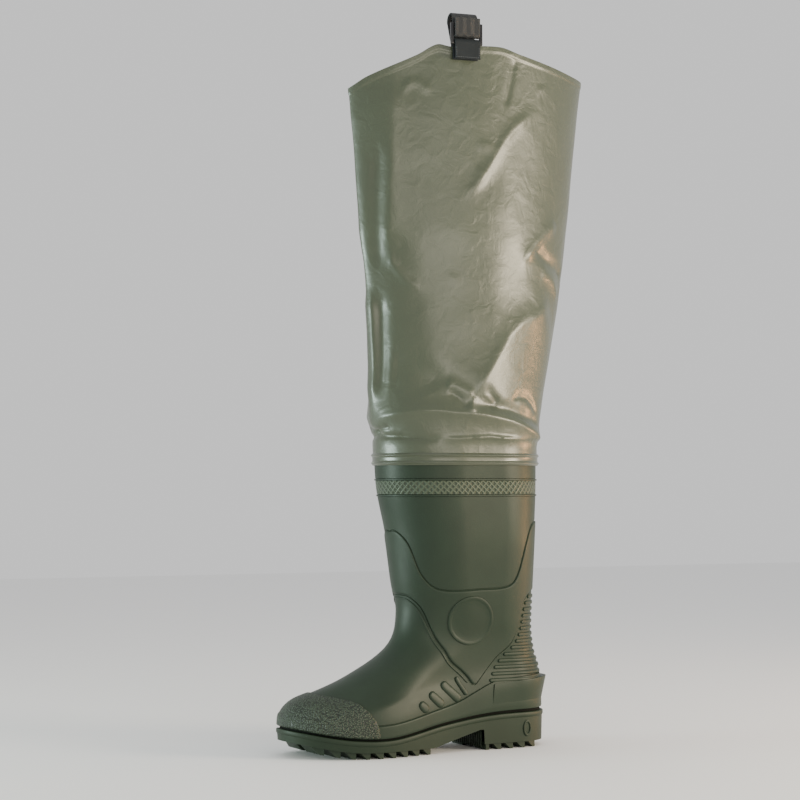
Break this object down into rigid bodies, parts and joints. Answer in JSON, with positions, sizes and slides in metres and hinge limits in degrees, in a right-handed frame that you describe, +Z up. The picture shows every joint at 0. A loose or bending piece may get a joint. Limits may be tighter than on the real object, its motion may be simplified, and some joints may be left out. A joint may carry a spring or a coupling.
{
  "type": "hip wader",
  "caption": "Left hip wader: moulded boot with cleated sole, toe cap and heel spur, tall slack coated-fabric leg with a raised outer rim, and a buckled belt loop.",
  "frame": {"origin": "middle of the round pad in the heel's tread, on the floor", "axes": "+Z up, -Y towards the toe, +X out of the outer side of this left boot"},
  "size_m": [0.1258, 0.357, 0.7662],
  "materials": {
    "sole_rubber": "satin",
    "boot_rubber": "semi-gloss",
    "insole_foam": "matt",
    "coated_fabric": "satin, coated",
    "welded_tape": "satin",
    "tab_webbing": "woven",
    "black_plastic": "gloss",
    "black_webbing": "woven"
  },
  "bodies": {
    "root": {"outsole": "sole_rubber", "upper": "boot_rubber", "insole": "insole_foam", "leg": "coated_fabric", "seam_tape": "welded_tape", "strap_tab": "tab_webbing", "buckle": "black_plastic", "belt_loop": "black_webbing"}
  },
  "joints": []
}
